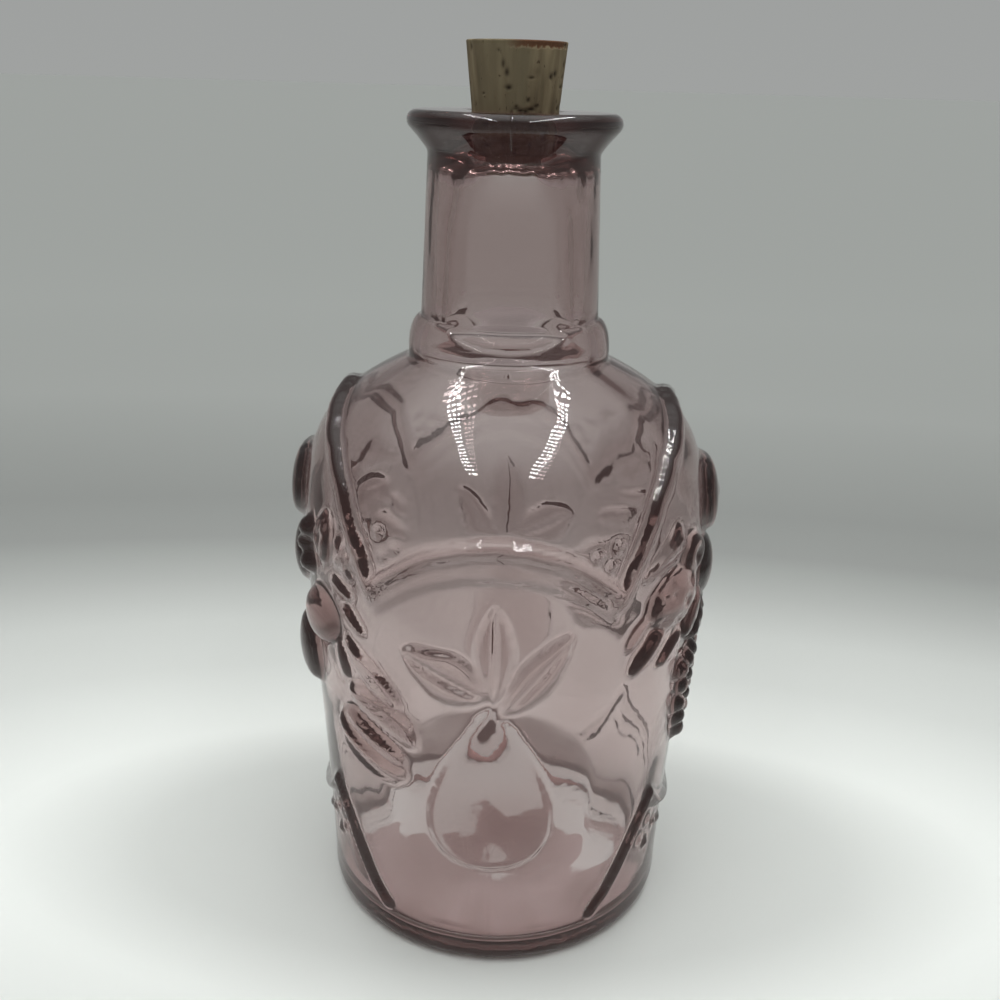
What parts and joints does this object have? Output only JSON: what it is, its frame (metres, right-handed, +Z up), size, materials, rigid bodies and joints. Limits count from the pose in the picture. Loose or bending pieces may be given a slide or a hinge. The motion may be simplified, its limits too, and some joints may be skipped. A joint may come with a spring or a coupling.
{
  "type": "glass decanter",
  "caption": "Round glass decanter with fruit and leaf relief, flat-sided neck and a tapered cork stopper.",
  "frame": {"origin": "on the bottle's axis, at the level that its foot ring stands on", "axes": "+Z up along the bottle's axis; -Y out of the front, with the pear"},
  "size_m": [0.1324, 0.1262, 0.2636],
  "materials": {
    "glass": "clear pale amethyst, moulded",
    "cork": "raw cork, matt"
  },
  "bodies": {
    "bottle": {"glass_bottle": "glass"},
    "cork": {"cork_stopper": "cork"}
  },
  "joints": [
    {"name": "cork_lift", "type": "slide", "parent": "bottle", "child": "cork", "axis": [0, 0, 1], "range_m": [0, 0.04]}
  ]
}
